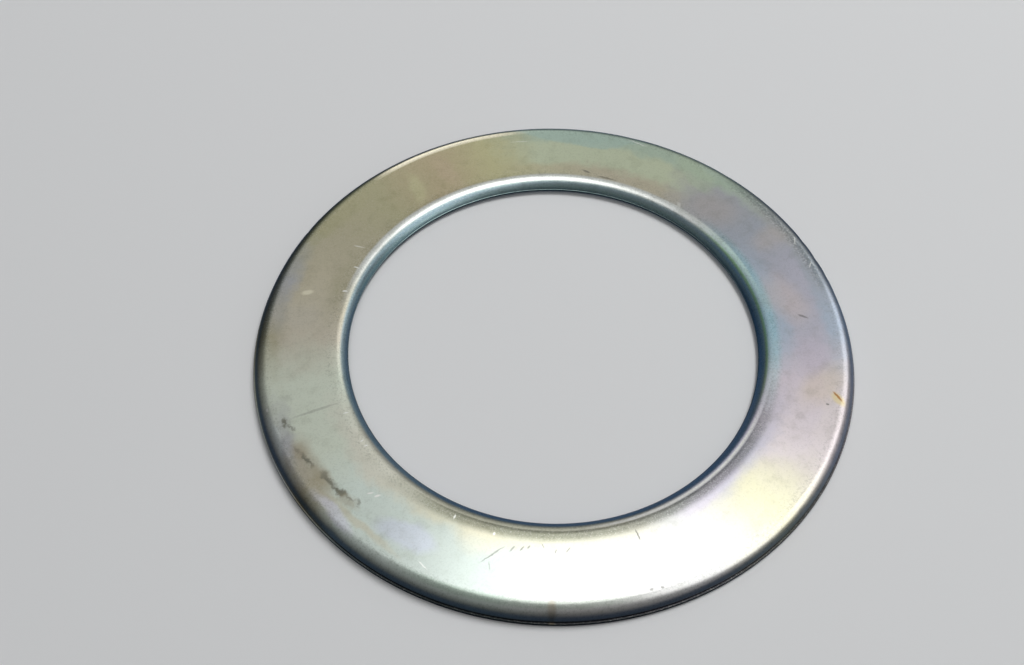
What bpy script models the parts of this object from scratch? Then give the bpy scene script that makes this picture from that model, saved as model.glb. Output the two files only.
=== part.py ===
"""Pressed collar ring: one flat steel ring with its bore edge and its outer rim rolled down.

The ring is a single piece of sheet, drawn in a press. Seen in section it is a shallow channel, open
underneath: a short lip that curls down round the bore, a flat web, a rounded rim, and a narrow foot
that the trimming of the drawn blank leaves round the base. It stands on the foot, with the bore axis
on Z.
"""

import math

import bpy

# Driving dimensions, in metres
OUTER_DIAMETER = 0.200  # over the foot
BORE_DIAMETER = 0.1374  # at the lip's edge
OVERALL_HEIGHT = 0.0056
SHEET = 0.0010  # thickness of the steel
OUTER_BEND = 0.0043  # outside radius where the web turns down into the rim
INNER_BEND = 0.0057  # outside radius of the curl that makes the lip
LIP_DROP = 0.00375  # the lip's upper edge lies this far below the web
FOOT_WIDTH = 0.0006  # the foot stands this far out from the rim
FOOT_FILLET = 0.0003  # between the rim and the top of the foot

# How finely the round shapes are divided
TURN_STEPS = 80
BEND_STEPS = 6
FILLET_STEPS = 2
MERGE_DISTANCE = 0.00001

ZINC_COLOUR = (0.52, 0.52, 0.46, 1.0)
ZINC_ROUGHNESS = 0.34
ZINC_METALLIC = 1.0


def clear_scene():
    for old in list(bpy.data.objects):
        bpy.data.objects.remove(old, do_unlink=True)


def new_collection(name):
    collection = bpy.data.collections.new(name)
    bpy.context.scene.collection.children.link(collection)
    return collection


def zinc_plate():
    """Zinc plating with a thin yellow-green passivated film."""
    material = bpy.data.materials.new("zinc_plate")
    material.use_nodes = True
    surface = material.node_tree.nodes["Principled BSDF"]
    surface.inputs["Base Color"].default_value = ZINC_COLOUR
    surface.inputs["Roughness"].default_value = ZINC_ROUGHNESS
    surface.inputs["Metallic"].default_value = ZINC_METALLIC
    material.diffuse_color = ZINC_COLOUR
    return material


def arc(centre, radius, start_degrees, end_degrees, steps):
    """Points of an arc in the section plane, both ends included."""
    points = []
    for step in range(steps + 1):
        angle = math.radians(start_degrees + (end_degrees - start_degrees) * step / steps)
        points.append((centre[0] + radius * math.cos(angle), centre[1] + radius * math.sin(angle)))
    return points


def sheet_face(depth):
    """(radius, height) points from the lip's edge to the foot's edge, this deep in the sheet.

    At depth 0 this is the upper face, and at depth SHEET it is the lower one. The bends share their
    centres at every depth, so the sheet keeps its thickness round them.
    """
    outer_radius = OUTER_DIAMETER / 2
    bore_radius = BORE_DIAMETER / 2
    rim_radius = outer_radius - FOOT_WIDTH
    foot_corner = SHEET + FOOT_FILLET
    outer_bend = min(OUTER_BEND, OVERALL_HEIGHT - foot_corner)  # the bend ends where the fillet starts
    lip_turn = math.acos(1 - LIP_DROP / INNER_BEND)  # the lip is cut off before it turns upright
    lip_centre = (bore_radius + INNER_BEND * math.sin(lip_turn), OVERALL_HEIGHT - INNER_BEND)
    rim_centre = (rim_radius - outer_bend, OVERALL_HEIGHT - outer_bend)
    foot_centre = (rim_radius + FOOT_FILLET, foot_corner)

    points = arc(lip_centre, INNER_BEND - depth, 90 + math.degrees(lip_turn), 90, BEND_STEPS)
    points += arc(rim_centre, outer_bend - depth, 90, 0, BEND_STEPS)
    points += arc(foot_centre, FOOT_FILLET + depth, 180, 270, FILLET_STEPS)
    points += [(outer_radius, SHEET - depth)]
    return points


def pressed_ring(collection):
    """The sheet's closed section, turned about Z; it runs down the rim and back up the inside."""
    outline = sheet_face(0.0) + sheet_face(SHEET)[::-1]
    before = outline[-1:] + outline
    corners = [here for here, last in zip(outline, before) if math.dist(here, last) > MERGE_DISTANCE]
    links = [(i, (i + 1) % len(corners)) for i in range(len(corners))]
    mesh = bpy.data.meshes.new("pressed_ring")
    mesh.from_pydata([(radius, 0.0, height) for radius, height in corners], links, [])
    mesh.materials.append(zinc_plate())
    ring = bpy.data.objects.new("pressed_ring", mesh)
    collection.objects.link(ring)

    turn = ring.modifiers.new("turn", "SCREW")
    turn.axis = "Z"
    turn.angle = math.tau
    turn.steps = TURN_STEPS
    turn.render_steps = TURN_STEPS
    turn.use_merge_vertices = True
    turn.merge_threshold = MERGE_DISTANCE
    turn.use_smooth_shade = True
    return ring


clear_scene()
pressed_ring(new_collection("pressed_collar_ring"))
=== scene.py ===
import math

import bmesh
import bpy
from mathutils import Matrix, Vector, noise


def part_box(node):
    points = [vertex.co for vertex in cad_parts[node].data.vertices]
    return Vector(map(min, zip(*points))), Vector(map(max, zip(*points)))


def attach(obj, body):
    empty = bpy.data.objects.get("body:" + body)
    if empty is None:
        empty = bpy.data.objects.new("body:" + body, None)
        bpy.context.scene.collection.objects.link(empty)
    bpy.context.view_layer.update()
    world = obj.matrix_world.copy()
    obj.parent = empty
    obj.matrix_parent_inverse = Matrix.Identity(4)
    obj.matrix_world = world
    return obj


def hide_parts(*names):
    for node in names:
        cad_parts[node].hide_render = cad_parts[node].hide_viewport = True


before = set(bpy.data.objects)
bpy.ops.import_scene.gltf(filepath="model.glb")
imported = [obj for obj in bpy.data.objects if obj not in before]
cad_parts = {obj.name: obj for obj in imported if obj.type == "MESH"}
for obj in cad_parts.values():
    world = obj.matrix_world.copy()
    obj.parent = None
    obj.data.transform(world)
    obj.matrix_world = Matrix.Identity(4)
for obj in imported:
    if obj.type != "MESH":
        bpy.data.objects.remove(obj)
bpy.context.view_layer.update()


# ---------------------------------------------------------------------------------------------------
# The pressed ring. One blank of 1 mm cold-rolled sheet, drawn and pierced in a press: the bore edge is
# curled down into a lip and the outer edge into a rounded rim. Trimming the blank leaves a narrow foot
# round the base, and the shear leaves a small burr on the lip.
MM = 0.001
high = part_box("pressed_ring")[1]
outer_radius = high.x
height = high.z
bore_radius = 68.7 * MM
sheet = 1.0 * MM
rim_radius = outer_radius - 0.6 * MM
rim_bend = 4.3 * MM
lip_curl = 5.7 * MM
lip_drop = 3.75 * MM
lip_turn = math.acos(1 - lip_drop / lip_curl)
foot_fillet = 0.3 * MM
burr = 0.22 * MM
edge_break = 0.10 * MM
turn_steps = 720
web_cuts = 15
web_inside = bore_radius + lip_curl * math.sin(lip_turn)
web_outside = rim_radius - rim_bend


def curl(bm, start, centre, angle, steps):
    """Carries the outline round a bend, and returns its new last point."""
    turned = bmesh.ops.spin(
        bm, geom=[start], cent=centre, axis=(0, 1, 0), angle=angle, steps=steps, use_duplicate=False
    )
    return next(part for part in turned["geom_last"] if isinstance(part, bmesh.types.BMVert))


def go_on(bm, start, radius, level):
    """Carries the outline straight on to this radius and height."""
    end = bm.verts.new((radius, 0.0, level))
    bm.edges.new((start, end))
    return end


ring_mesh = bmesh.new()
web_start = ring_mesh.verts.new((web_inside, 0.0, height))
lip_end = curl(ring_mesh, web_start, (web_inside, 0.0, height - lip_curl), -lip_turn, 16)
go_on(ring_mesh, lip_end, lip_end.co.x - burr, lip_end.co.z - 0.3 * burr)
web_end = go_on(ring_mesh, web_start, web_outside, height)
rim_top = curl(ring_mesh, web_end, (web_outside, 0.0, height - rim_bend), math.pi / 2, 16)
foot_centre = (rim_radius + foot_fillet, 0.0, sheet + foot_fillet)
foot_flat = curl(ring_mesh, rim_top, foot_centre, -math.pi / 2, 3)
go_on(ring_mesh, foot_flat, outer_radius, sheet)
web_line = max(ring_mesh.edges, key=lambda edge: edge.calc_length())
bmesh.ops.subdivide_edges(ring_mesh, edges=[web_line], cuts=web_cuts)
bmesh.ops.spin(
    ring_mesh, geom=ring_mesh.verts[:] + ring_mesh.edges[:], cent=(0, 0, 0), axis=(0, 0, 1),
    angle=math.tau, steps=turn_steps, use_merge=True, use_duplicate=False,
)
bmesh.ops.remove_doubles(ring_mesh, verts=ring_mesh.verts, dist=0.001 * MM)
bmesh.ops.recalc_face_normals(ring_mesh, faces=ring_mesh.faces)
bmesh.ops.solidify(ring_mesh, geom=ring_mesh.faces, thickness=sheet)
cut_corner = math.radians(50)
level_within = 0.01 * MM
sharp_edges = [
    edge for edge in ring_mesh.edges
    if edge.calc_face_angle(0.0) > cut_corner
    and abs(edge.verts[0].co.z - edge.verts[1].co.z) < level_within
]
bmesh.ops.bevel(
    ring_mesh, geom=sharp_edges, offset=edge_break, offset_type="OFFSET", affect="EDGES", segments=2,
    profile=0.5, material=-1, clamp_overlap=True,
)

# The web isn't dead flat after pressing, and knocks have dished the rim a little in places. The base
# stays flat.
web_sag = 0.07 * MM
sag_length = 55 * MM
rim_knocks = [  # (degrees round the ring, depth in mm)
    (9, 0.16), (14, 0.10), (19, 0.20), (24, 0.12), (47, 0.08),
    (70, 0.12), (151, 0.10), (226, 0.14), (268, 0.12), (318, 0.08),
]
knock_width = 1.6 * MM
knock_level = height - 0.4 * rim_bend
held_below = 1.5 * MM
free_above = 4.0 * MM
for vertex in ring_mesh.verts:
    lift = min(max((vertex.co.z - held_below) / (free_above - held_below), 0.0), 1.0)
    roll = noise.noise(vertex.co / sag_length) + 0.35 * noise.noise(vertex.co * 3.1 / sag_length)
    sag = web_sag * lift * (0.5 + 0.5 * roll)
    radius = vertex.co.xy.length
    inward = 0.0
    if radius > rim_radius - rim_bend:
        for degrees, depth in rim_knocks:
            at = Matrix.Rotation(math.radians(degrees), 3, "Z") @ Vector((rim_radius, 0.0, knock_level))
            inward += depth * MM * math.exp(-(((vertex.co - at).length / knock_width) ** 2))
    vertex.co.xy *= 1.0 - inward / radius
    vertex.co.z -= sag + 0.5 * inward * lift

ring_data = bpy.data.meshes.new("pressed_ring_visible")
ring_mesh.to_mesh(ring_data)
ring_mesh.free()
ring_data.shade_smooth()
ring = bpy.data.objects.new("pressed_ring_visible", ring_data)
bpy.context.scene.collection.objects.link(ring)


# The finish of the ring: zinc plating with a clear passivated film. The film dries unevenly, so it shifts
# between straw, mauve, lilac and blue-green in wide stains, with a tide line where a puddle dried.
class Field:
    """A socket of the finish, so that a pattern reads as sums and products of other patterns."""

    tree = None

    def __init__(self, socket):
        self.socket = socket

    @classmethod
    def node(cls, kind, settings=None, sockets=None, output=0):
        """Any node, from its type, its settings and the values or fields of its sockets."""
        made = cls.tree.nodes.new(kind)
        for name, value in (settings or {}).items():
            if name == "stops":
                ramp = made.color_ramp
                while len(ramp.elements) < len(value):
                    ramp.elements.new(0.5)
                for element, (place, colour) in zip(ramp.elements, value):
                    element.position, element.color = place, colour
            else:
                setattr(made, name, value)
        for key, value in (sockets or {}).items():
            if isinstance(value, Field):
                cls.tree.links.new(value.socket, made.inputs[key])
            else:
                made.inputs[key].default_value = value
        return cls(made.outputs[output])

    def math(self, operation, *others):
        return self.node("ShaderNodeMath", {"operation": operation}, dict(enumerate((self, *others))))

    def __add__(self, other):
        return self.math("ADD", other)

    __radd__ = __add__

    def __sub__(self, other):
        return self.math("SUBTRACT", other)

    def __rsub__(self, other):
        return (self * -1.0).math("ADD", other)

    def __mul__(self, other):
        return self.math("MULTIPLY", other)

    __rmul__ = __mul__

    def __truediv__(self, other):
        return self.math("DIVIDE", other)

    def step(self, start, end):
        """A smooth rise from 0 at start to 1 at end, which may lie below start."""
        rising = start < end
        settings = {"interpolation_type": "SMOOTHSTEP", "clamp": True}
        ends = {1: start, 2: end, 3: 0.0, 4: 1.0} if rising else {1: end, 2: start, 3: 1.0, 4: 0.0}
        return self.node("ShaderNodeMapRange", settings, {0: self, **ends})

    def most(self, other):
        return self.math("MAXIMUM", other)

    def part(self, axis):
        """One of a place's or direction's three numbers: 0, 1 or 2 for X, Y or Z."""
        return self.node("ShaderNodeSeparateXYZ", {}, {0: self}, axis)

    def vector(self, operation, other=None, scale=None):
        sockets = {0: self}
        if other is not None:
            sockets[1] = other
        if scale is not None:
            sockets["Scale"] = scale
        return self.node("ShaderNodeVectorMath", {"operation": operation}, sockets)

    def dot(self, direction):
        sockets = {0: self, 1: direction}
        return self.node("ShaderNodeVectorMath", {"operation": "DOT_PRODUCT"}, sockets, output=1)

    def tint(self, colour, mask, blend="MIX"):
        """This colour, with another laid over it where the mask says."""
        settings = {"data_type": "RGBA", "blend_type": blend, "clamp_factor": True}
        return self.node("ShaderNodeMix", settings, {0: mask, 6: self, 7: colour}, output=2)


def colour_of(red, green, blue):
    return (red, green, blue, 1.0)


plating = bpy.data.materials.new("zinc_plate_passivated")
plating.use_nodes = True
Field.tree = plating.node_tree
surface = plating.node_tree.nodes["Principled BSDF"]


def clouds(where, scale, detail=2.0, roughness=0.5, output=0):
    """Soft random clouds, with this many of them to a millimetre."""
    sockets = {"Vector": where, "Scale": scale, "Detail": detail, "Roughness": roughness}
    return Field.node("ShaderNodeTexNoise", {}, sockets, output)


# Places in millimetres, and the surface's own angle round the ring from the +X side towards +Y.
place = Field.node("ShaderNodeTexCoord", output="Object").vector("SCALE", scale=1 / MM)
across_x = place.part(0)
across_y = place.part(1)
up_z = place.part(2)
facing_up = Field.node("ShaderNodeTexCoord", output="Normal").part(2)
top = facing_up.step(-0.25, 0.10)
radius_mm = (across_x * across_x + across_y * across_y).math("SQRT")
angle = (across_x * -1.0).math("ARCTAN2", across_y) + math.pi / 2


def drift(scale, reach):
    """Pushes places about by up to half this reach, so that borders wander as a drying film's do."""
    cloud = clouds(place, scale, detail=2.0, output=1).vector("SUBTRACT", (0.5, 0.5, 0.5))
    return cloud.vector("SCALE", scale=reach)


wandering = place.vector("ADD", drift(0.05, 10.0)).vector("ADD", drift(0.4, 1.6))
frayed = place.vector("ADD", drift(1.1, 0.5))
ragged = place.vector("ADD", drift(0.55, 2.6)).vector("ADD", drift(1.8, 0.9))


def oval(degrees, radius, along, across, slant, edge, where=wandering):
    """A soft oval on the ring, with its full length along the radius turned by this slant, and its width.

    It is worked out with dot products, because this many Mapping nodes overrun the renderer's shader stack.
    """
    turn = math.radians(degrees)
    lie = turn + math.radians(slant)
    from_centre = where.vector("SUBTRACT", (radius * math.cos(turn), radius * math.sin(turn), 0.0))
    lengthwise = from_centre.dot((math.cos(lie) * 2 / along, math.sin(lie) * 2 / along, 0.0))
    crosswise = from_centre.dot((-math.sin(lie) * 2 / across, math.cos(lie) * 2 / across, 0.0))
    distance = (lengthwise * lengthwise + crosswise * crosswise).math("SQRT")
    return distance.step(1.0 + edge / 2, 1.0 - edge / 2)


# The film's tones, from nearly clear to the thick olive and blue-green of the far side.
clear = colour_of(0.58, 0.58, 0.57)
cream = colour_of(0.60, 0.58, 0.44)
straw = colour_of(0.59, 0.57, 0.40)
rose = colour_of(0.69, 0.63, 0.64)
mauve = colour_of(0.64, 0.58, 0.64)
lilac = colour_of(0.49, 0.49, 0.57)
slate = colour_of(0.42, 0.45, 0.51)
sky_blue = colour_of(0.44, 0.51, 0.61)
haze = colour_of(0.45, 0.46, 0.48)
spring = colour_of(0.60, 0.66, 0.49)
sage = colour_of(0.49, 0.60, 0.49)
gold = colour_of(0.57, 0.55, 0.33)
bronze = colour_of(0.51, 0.44, 0.29)
olive = colour_of(0.45, 0.43, 0.28)
khaki = colour_of(0.48, 0.45, 0.33)
sand = colour_of(0.56, 0.52, 0.40)
beige = colour_of(0.61, 0.57, 0.47)
mint = colour_of(0.71, 0.77, 0.66)
ice = colour_of(0.70, 0.79, 0.73)
mist = colour_of(0.56, 0.63, 0.59)
buff = colour_of(0.74, 0.74, 0.64)
pale_straw = colour_of(0.61, 0.61, 0.49)
drab = colour_of(0.52, 0.51, 0.44)

# Tones round the ring, as (degrees, tone), starting and ending at the -Y side.
beside_bore = [
    (-90, pale_straw), (-74, drab), (-58, haze), (-40, lilac), (-15, mauve), (0, sky_blue),
    (18, sky_blue), (32, slate), (46, haze), (60, sand), (75, sand), (90, straw), (105, gold),
    (120, bronze), (135, olive), (150, khaki), (165, khaki), (180, beige), (195, mint), (210, buff),
    (225, buff), (240, pale_straw), (255, pale_straw), (270, pale_straw),
]
mid_web = [
    (-90, clear), (-62, clear), (-46, cream), (-32, rose), (-15, mauve), (0, lilac),
    (15, lilac), (30, slate), (46, haze), (58, spring), (75, spring), (92, spring), (104, gold),
    (118, bronze), (135, olive), (150, khaki), (164, sand), (180, beige), (194, mint), (210, mint),
    (225, ice), (240, mist), (255, mist), (270, clear),
]
beside_rim = [
    (-90, clear), (-62, clear), (-46, cream), (-30, rose), (-15, rose), (0, sky_blue),
    (15, slate), (30, haze), (45, sage), (60, sage), (90, sage), (103, gold), (118, bronze),
    (135, olive), (150, olive), (165, haze), (180, khaki), (195, mint), (207, haze), (217, khaki),
    (226, ice), (240, mist), (255, mist), (270, clear),
]


def round_ring(tones, where):
    stops = [((degrees + 90) / 360, tone) for degrees, tone in tones]
    return Field.node("ShaderNodeValToRGB", {"stops": stops}, {0: where / math.tau + 0.25})


sway = clouds(place, 0.045, detail=3.0) - 0.5
film_angle = angle + 0.22 * sway + 0.11 * (clouds(place, 0.28, detail=4.0) - 0.5)
film_radius = radius_mm + 8.0 * (clouds(place, 0.06, detail=3.0) - 0.5)
film_radius = film_radius + 4.0 * (clouds(place, 0.33, detail=4.0) - 0.5)
tone = round_ring(mid_web, film_angle)
tone = tone.tint(round_ring(beside_bore, film_angle), film_radius.step(81.5, 76.0))
tone = tone.tint(round_ring(beside_rim, film_angle), film_radius.step(88.0, 92.5))

# Stains over the tones: (tone, degrees, radius, full length along the radius, width, slant, strength, edge)
stains = [
    (colour_of(0.47, 0.61, 0.54), 82, 95.0, 12.0, 64.0, 0, 0.80, 0.30),
    (colour_of(0.52, 0.62, 0.46), 53, 91.0, 9.0, 22.0, -25, 0.55, 0.50),
    (colour_of(0.60, 0.49, 0.36), 116, 83.0, 17.0, 7.0, 10, 0.40, 1.0),
    (colour_of(0.62, 0.62, 0.38), 126, 82.0, 12.0, 5.0, -15, 0.45, 1.0),
    (colour_of(0.66, 0.57, 0.55), 9, 79.8, 11.0, 22.0, 15, 0.50, 1.2),
    (colour_of(0.62, 0.54, 0.47), 27, 88.0, 13.0, 9.0, 0, 0.35, 1.2),
    (colour_of(0.52, 0.47, 0.45), 43, 80.0, 14.0, 17.0, 20, 0.45, 1.1),
    (colour_of(0.58, 0.56, 0.50), 174, 88.0, 16.0, 9.0, 0, 0.30, 1.1),
    (colour_of(0.50, 0.46, 0.36), 214, 91.0, 6.5, 26.0, -14, 0.60, 0.9),
    (colour_of(0.62, 0.56, 0.40), 229, 91.8, 2.6, 26.0, 0, 0.50, 1.1),
    (colour_of(0.62, 0.66, 0.78), 238, 86.5, 7.0, 17.0, 10, 0.60, 0.8),
    (colour_of(0.74, 0.74, 0.84), 224, 95.0, 4.0, 18.0, 0, 0.65, 0.9),
    (colour_of(0.64, 0.70, 0.70), 205, 97.3, 4.4, 34.0, 0, 0.65, 0.8),
    (colour_of(0.72, 0.68, 0.52), 252, 78.0, 9.0, 14.0, 0, 0.45, 1.0),
    (colour_of(0.52, 0.47, 0.56), -52, 75.5, 6.0, 26.0, 0, 0.50, 1.0),
    (colour_of(0.74, 0.73, 0.50), -43, 88.0, 16.0, 20.0, 0, 0.50, 1.1),
    (colour_of(0.68, 0.58, 0.47), -15, 89.0, 11.0, 17.0, -30, 0.50, 1.1),
    (colour_of(0.57, 0.51, 0.60), -7, 86.0, 12.0, 12.0, 0, 0.40, 1.2),
]
for colour, degrees, radius, along, across, slant, strength, edge in stains:
    tone = tone.tint(colour, oval(degrees, radius, along, across, slant, edge) * strength)


def side(degrees, fade, full):
    """1 near this angle round the ring and 0 away from it, by the cosine of the angle between."""
    return (angle - math.radians(degrees)).math("COSINE").step(fade, full)


def within(inner, inner_full, outer_full, outer):
    """1 between the two middle radii, falling to 0 at the first and the last."""
    return radius_mm.step(inner, inner_full) * radius_mm.step(outer, outer_full)


right_side = side(8, 0.80, 0.97)
scuffed = side(28, 0.93, 0.985)
far_side = side(90, 0.10, 0.50)
far_left = side(113, 0.94, 0.985)
left_far_lip = side(135, 0.80, 0.95)
left_side = side(156, 0.80, 0.97)
left_foot = side(192, 0.78, 0.96)
near_rim = side(262, 0.90, 0.98)
near_side = side(285, 0.45, 0.85)
near_lip = side(305, 0.84, 0.96)

# The lip's curl turns nearly clear on top at the far side, lightened there into a painted highlight, with a
# painted highlight line at the near right. Below that the lip carries a painted slate-blue reflection,
# greener at the far edge.
lip_painted_light = [
    ((0.72, 0.75, 0.73), far_side * within(70.2, 71.2, 72.6, 73.6) * 0.9),
    ((0.66, 0.66, 0.64), near_lip * within(71.5, 71.9, 72.4, 72.9) * 0.9),
    ((0.31, 0.44, 0.50), radius_mm.step(71.3, 70.2) * 0.88),
    ((0.19, 0.40, 0.62), right_side * radius_mm.step(70.8, 70.0) * 0.75),
    ((0.44, 0.64, 0.63), far_side * radius_mm.step(69.9, 69.2) * 0.7),
]
for colour, where in lip_painted_light:
    tone = tone.tint(colour_of(*colour), where)

# Tones multiplied on, most of them painted shade. On the lip: painted shade at the far left, beside the
# bore on the near side and along the cut edge, a painted blue reflection low on the near side, and greener
# film on the right.
lip_film_and_painted_shade = [
    ((0.84, 1.08, 1.05), right_side * within(70.6, 71.4, 73.6, 76.6)),
    ((0.72, 1.00, 0.62), right_side * within(70.2, 70.7, 71.1, 71.4)),
    ((0.56, 0.58, 0.60), left_far_lip * within(69.0, 69.6, 70.6, 71.3)),
    ((0.52, 0.62, 0.80), near_side * radius_mm.step(71.7, 70.7)),
    ((0.43, 0.44, 0.42), near_side * within(72.5, 73.1, 74.6, 77.4)),
    ((0.40, 0.40, 0.40), radius_mm.step(68.9, 68.7)),
]
# On the rim: painted shade on the left and near sides, painted blue reflections on the far side and at the
# far left, and darker scuffed steel on the right.
rim_scuffs_and_painted_shade = [
    ((0.40, 0.44, 0.42), left_side * radius_mm.step(94.4, 96.2)),
    ((0.66, 0.70, 0.70), scuffed * radius_mm.step(93.0, 95.0)),
    ((0.70, 0.75, 0.70), near_rim * within(94.3, 95.4, 96.6, 97.6)),
    ((0.50, 0.56, 0.72), far_side * radius_mm.step(96.6, 97.8)),
    ((0.60, 0.68, 0.92), far_left * radius_mm.step(95.9, 96.8)),
]
# Round the foot: painted shade, lighter on the left and deeper on the near side.
foot_painted_shade = [
    ((0.18, 0.19, 0.21), up_z.step(1.9, 1.2) * radius_mm.step(97.5, 98.5) * (1.0 - 0.7 * left_foot)),
    ((0.35, 0.35, 0.35), near_side.most(near_rim) * up_z.step(1.6, 1.1) * radius_mm.step(98.2, 99.0)),
]
for colour, where in lip_film_and_painted_shade + rim_scuffs_and_painted_shade + foot_painted_shade:
    tone = tone.tint(colour_of(*colour), where, "MULTIPLY")

# A painted highlight along the start of the rim's bend at the far left.
tone = tone.tint(colour_of(1.00, 0.94, 0.74), far_left * within(94.0, 94.9, 95.9, 96.8) * 0.9)

# The plating's own grain: a fine satin speckle, stronger where the sheet was stretched over the bends.
grain = clouds(place, 1.5, detail=3.0, roughness=0.7)
mottle = clouds(place, 0.22, detail=4.0, roughness=0.6)
speck = clouds(place, 3.0, detail=2.0)
stretched = radius_mm.step(77.0, 74.5).most(radius_mm.step(92.5, 95.0))
tone = tone.tint(colour_of(0.70, 0.70, 0.66), mottle.step(0.52, 0.30) * 0.30, "MULTIPLY")
grainy = grain.step(0.52, 0.34) * (0.35 + 0.45 * stretched)
tone = tone.tint(colour_of(0.76, 0.77, 0.76), grainy, "MULTIPLY")
tone = tone.tint(colour_of(0.80, 0.81, 0.78), speck.step(0.54, 0.76) * (0.14 + 0.20 * stretched))

# A band of fine scuffs on the right of the rim, dark and bright.
scuff_band = scuffed * within(91.4, 93.6, 96.0, 97.4)
rubbed = clouds(frayed, 1.5, detail=3.0)
tone = tone.tint(colour_of(0.22, 0.23, 0.22), scuff_band * rubbed.step(0.48, 0.64) * 0.55)
tone = tone.tint(colour_of(0.84, 0.87, 0.85), scuff_band * rubbed.step(0.44, 0.34) * 0.35)

# Marks of use, as (tone, degrees, radius, length, width, slant, strength), with slant 0 along the radius:
# scratches, nicks and a dried drop, and then the grease that has smeared across the left side.
soot = colour_of(0.13, 0.13, 0.12)
grease = colour_of(0.20, 0.20, 0.16)
tan = colour_of(0.40, 0.35, 0.24)
bare = colour_of(0.90, 0.91, 0.88)
scratches = [
    (colour_of(0.80, 0.76, 0.60), 167.5, 85.6, 3.8, 1.9, 25, 0.85),
    (soot, 201, 82.0, 14.0, 0.9, 0, 0.26),
    (bare, 226.0, 82.4, 1.9, 0.6, -35, 0.90),
    (bare, 227.6, 81.6, 1.9, 0.6, -30, 0.90),
    (soot, 255.4, 83.2, 6.2, 0.45, -42, 0.60),
    (soot, 256.9, 80.6, 3.5, 0.4, -48, 0.50),
    (soot, 259.6, 79.6, 2.2, 0.5, -30, 0.55),
    (soot, 261.6, 79.2, 2.0, 0.5, -35, 0.60),
    (soot, 263.0, 78.4, 1.4, 0.5, -30, 0.60),
    (soot, 266.0, 77.7, 1.7, 0.4, 30, 0.50),
    (soot, 268.8, 79.4, 1.4, 0.45, -20, 0.60),
    (soot, 271.4, 79.0, 2.0, 0.45, -42, 0.60),
    (soot, 255.8, 86.2, 2.8, 0.4, 20, 0.35),
    (soot, 287.0, 77.8, 3.6, 0.5, 4, 0.80),
    (colour_of(0.30, 0.24, 0.16), 268, 97.2, 5.5, 2.4, 0, 0.50),
    (soot, 285.5, 95.0, 1.4, 0.8, 90, 0.70),
    (soot, 287.4, 95.3, 1.2, 0.7, 70, 0.70),
    (colour_of(0.74, 0.62, 0.32), 342.8, 94.6, 5.4, 3.0, -40, 0.70),
    (colour_of(0.42, 0.19, 0.05), 343.4, 94.2, 4.2, 0.75, -43, 0.90),
    (soot, 341, 91.5, 0.9, 0.7, 0, 0.70),
    (bare, 17, 94.6, 3.0, 0.4, 50, 0.60),
    (bare, 24, 95.0, 3.2, 0.4, 60, 0.60),
    (soot, 3.6, 84.5, 3.4, 0.8, -30, 0.60),
    (soot, 78.6, 75.4, 3.0, 0.8, 70, 0.60),
    (soot, 72.5, 73.8, 7.0, 0.7, 88, 0.55),
    (bare, 68.5, 95.0, 7.0, 0.35, 80, 0.70),
    (bare, 96, 90.5, 7.0, 0.35, 88, 0.50),
    (bare, 150, 77.5, 3.6, 0.4, 15, 0.60),
    (bare, 156.5, 73.6, 1.9, 0.5, 10, 0.90),
    (bare, 165, 73.2, 1.7, 0.6, 20, 0.95),
    (bare, 204.5, 73.4, 1.7, 0.45, 0, 0.90),
    (bare, 213.8, 73.4, 1.2, 0.5, 10, 0.80),
    (bare, 215.5, 73.2, 1.3, 0.5, -10, 0.80),
    (bare, 245, 74.6, 1.5, 0.5, 0, 0.70),
    (bare, 255, 76.0, 1.0, 0.7, 0, 0.70),
    (bare, 50, 74.0, 2.2, 1.4, 40, 0.35),
    (bare, 197.5, 96.5, 1.3, 0.6, 90, 0.90),
    (bare, 244, 92.5, 3.6, 0.4, 70, 0.60),
]
smears = [
    (grease, 201.4, 92.4, 3.6, 1.2, 78, 0.85),
    (grease, 203.2, 91.0, 3.2, 0.8, 122, 0.55),
    (tan, 209.0, 91.6, 7.0, 4.0, 96, 0.55),
    (grease, 208.6, 92.2, 2.6, 1.0, 108, 0.40),
    (grease, 211.2, 91.0, 4.4, 1.3, 100, 0.85),
    (grease, 212.9, 90.4, 2.6, 0.9, 84, 0.60),
    (tan, 216.6, 90.2, 10.0, 4.4, 96, 0.55),
    (grease, 216.4, 89.2, 3.4, 2.0, 88, 0.55),
    (grease, 218.2, 88.9, 4.6, 1.7, 106, 0.80),
    (grease, 220.2, 89.2, 3.2, 1.3, 84, 0.70),
    (grease, 221.6, 88.7, 4.2, 2.4, 98, 0.95),
    (tan, 224.0, 89.0, 7.0, 3.4, 96, 0.50),
    (grease, 224.0, 88.0, 2.8, 0.9, 112, 0.50),
    (grease, 225.8, 87.0, 2.4, 1.1, 60, 0.55),
]
for marks, edge, where in ((smears, 1.3, ragged), (scratches, 0.9, frayed)):
    for colour, degrees, radius, length, width, slant, strength in marks:
        tone = tone.tint(colour, oval(degrees, radius, length, width, slant, edge, where) * strength * top)

surface.inputs["Metallic"].default_value = 1.0
plating.node_tree.links.new(tone.socket, surface.inputs["Base Color"])
finish_roughness = 0.25 + 0.07 * mottle + 0.07 * grain
plating.node_tree.links.new(finish_roughness.socket, surface.inputs["Roughness"])
relief = grain * (0.004 + 0.006 * stretched) + mottle * 0.008
bump = Field.node("ShaderNodeBump", {}, {"Strength": 1.0, "Distance": MM, "Height": relief})
plating.node_tree.links.new(bump.socket, surface.inputs["Normal"])
ring_data.materials.append(plating)

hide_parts("pressed_ring")
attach(ring, "root")


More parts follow.
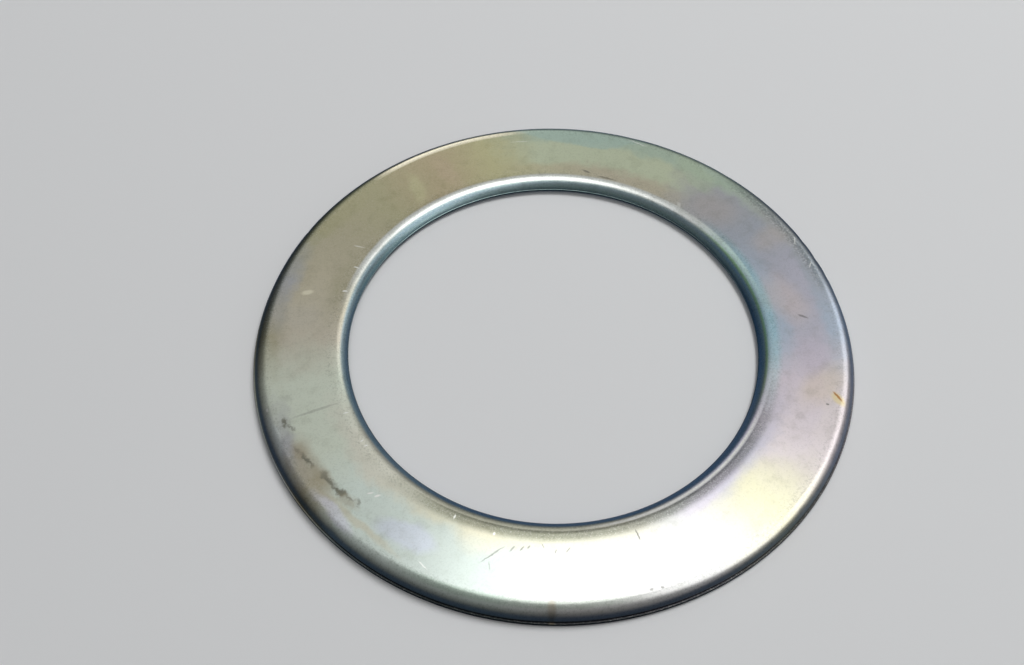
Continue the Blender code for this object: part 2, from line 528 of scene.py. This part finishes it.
# ---------------------------------------------------------------------------------------------------
# The floor: one plain pale matt sheet, far wider than the ring that stands on it. The metal mirrors the
# dark ground of the room in its place.
floor_size = 6.0
floor_mesh = bmesh.new()
bmesh.ops.create_grid(floor_mesh, x_segments=1, y_segments=1, size=floor_size / 2)
floor_data = bpy.data.meshes.new("floor")
floor_mesh.to_mesh(floor_data)
floor_mesh.free()
floor = bpy.data.objects.new("floor", floor_data)
bpy.context.scene.collection.objects.link(floor)
paint = bpy.data.materials.new("floor_paint")
paint.use_nodes = True
matt = paint.node_tree.nodes["Principled BSDF"]
matt.inputs["Base Color"].default_value = colour_of(0.78, 0.79, 0.80)
matt.inputs["Roughness"].default_value = 0.85
floor_data.materials.append(paint)
floor.visible_glossy = False


# ---------------------------------------------------------------------------------------------------
# Studio light. The metal mirrors a soft lamp over the ring, windows at the front right, the far right and
# the far side, and a dim room that is brighter on the far side and dark below. One more lamp lights the
# floor alone.
def soft_lamp(name, stands_at, aimed_at, width, depth, power, lights_metal=True, lights_floor=True):
    """A soft oval lamp, width by depth in size."""
    lamp_data = bpy.data.lights.new(name, "AREA")
    lamp_data.shape = "ELLIPSE"
    lamp_data.size = width
    lamp_data.size_y = depth
    lamp_data.energy = power
    lamp = bpy.data.objects.new(name, lamp_data)
    lamp.location = stands_at
    lamp.rotation_mode = "QUATERNION"
    lamp.rotation_quaternion = (Vector(stands_at) - Vector(aimed_at)).to_track_quat("Z", "Y")
    lamp.visible_glossy = lights_metal
    lamp.visible_diffuse = lights_floor
    lamp.visible_camera = False
    bpy.context.scene.collection.objects.link(lamp)


soft_lamp("bench_lamp", (0.053, 0.004, 0.24), (0.053, 0.004, 0.0), 0.225, 0.13, 0.19, lights_floor=False)
soft_lamp("front_window", (0.365, -0.165, 0.36), (0.05, -0.08, 0.0), 0.44, 0.56, 1.165, lights_floor=False)
soft_lamp("side_window", (0.86, 0.55, 0.72), (0.0, 0.0, 0.0), 1.05, 0.70, 2.2, lights_floor=False)
soft_lamp("far_window", (-0.355, 1.67, 0.833), (0.0, 0.0, 0.0), 0.60, 0.88, 1.3, lights_floor=False)
soft_lamp("floor_light", (0.9, 1.1, 2.0), (0.0, 0.0, 0.0), 1.0, 1.0, 30.0, lights_metal=False)

room = bpy.data.worlds.new("room")
room.use_nodes = True
bpy.context.scene.world = room
Field.tree = room.node_tree
sky = room.node_tree.nodes["Background"]
heading = Field.node("ShaderNodeTexCoord", output="Generated")


def towards(direction):
    """How far the sky's direction agrees with this one, from -1 to 1."""
    return heading.dot(Vector(direction).normalized())


def mixed(first, second, share):
    """A colour between two others."""
    return Field.node("ShaderNodeMix", {"data_type": "RGBA"}, {0: share, 6: first, 7: second}, output=2)


upward = towards((0, 0, 1))
wall_light = [(0.0, 0.07), (0.26, 0.11), (0.57, 0.20), (0.77, 0.28), (1.0, 0.45)]
wall_stops = [(how_high, colour_of(light, light, light)) for how_high, light in wall_light]
dim_walls = Field.node("ShaderNodeValToRGB", {"stops": wall_stops}, {0: upward})
bright_wall = mixed(colour_of(0.30, 0.30, 0.30), colour_of(0.60, 0.60, 0.59), upward.step(0.0, 0.6))
walls = dim_walls.tint(bright_wall, towards((0.0, 0.74, 0.67)).step(0.80, 1.0))
walls = walls.tint(colour_of(0.30, 0.30, 0.31), towards((1, 0, 0)).step(0.1, 0.8) * upward.step(0.75, 0.3))
far_right = towards((0.6, 0.8, 0)).step(-0.3, 0.7)
below = mixed(colour_of(0.022, 0.034, 0.056), colour_of(0.11, 0.15, 0.21), far_right)
mirrored = walls.tint(below, upward.step(0.06, -0.06))
straight = Field.node("ShaderNodeLightPath", output="Is Camera Ray")
room_light = mirrored.tint(colour_of(0.74, 0.76, 0.78), straight)
room.node_tree.links.new(room_light.socket, sky.inputs["Color"])
sky.inputs["Strength"].default_value = 1.0
bpy.context.scene.view_settings.view_transform = "Standard"


# ---------------------------------------------------------------------------------------------------
# The camera looks down on the ring from the front, a little left of its axis and about 0.39 m from its
# middle. Its place is given in outer radii, since the ring's circles fix only that.
camera_data = bpy.data.cameras.new("camera")
camera_data.sensor_width = 36.0
camera_data.lens = 40.37
camera = bpy.data.objects.new("camera", camera_data)
camera_place = Vector((-0.1361, -2.2589, 3.1500)) * outer_radius
camera_tilt = 36.16
camera_roll = 0.80
camera.matrix_world = (
    Matrix.Translation(camera_place)
    @ Matrix.Rotation(math.radians(camera_tilt), 4, "X")
    @ Matrix.Rotation(math.radians(-camera_roll), 4, "Z")
)
bpy.context.scene.collection.objects.link(camera)
bpy.context.scene.camera = camera
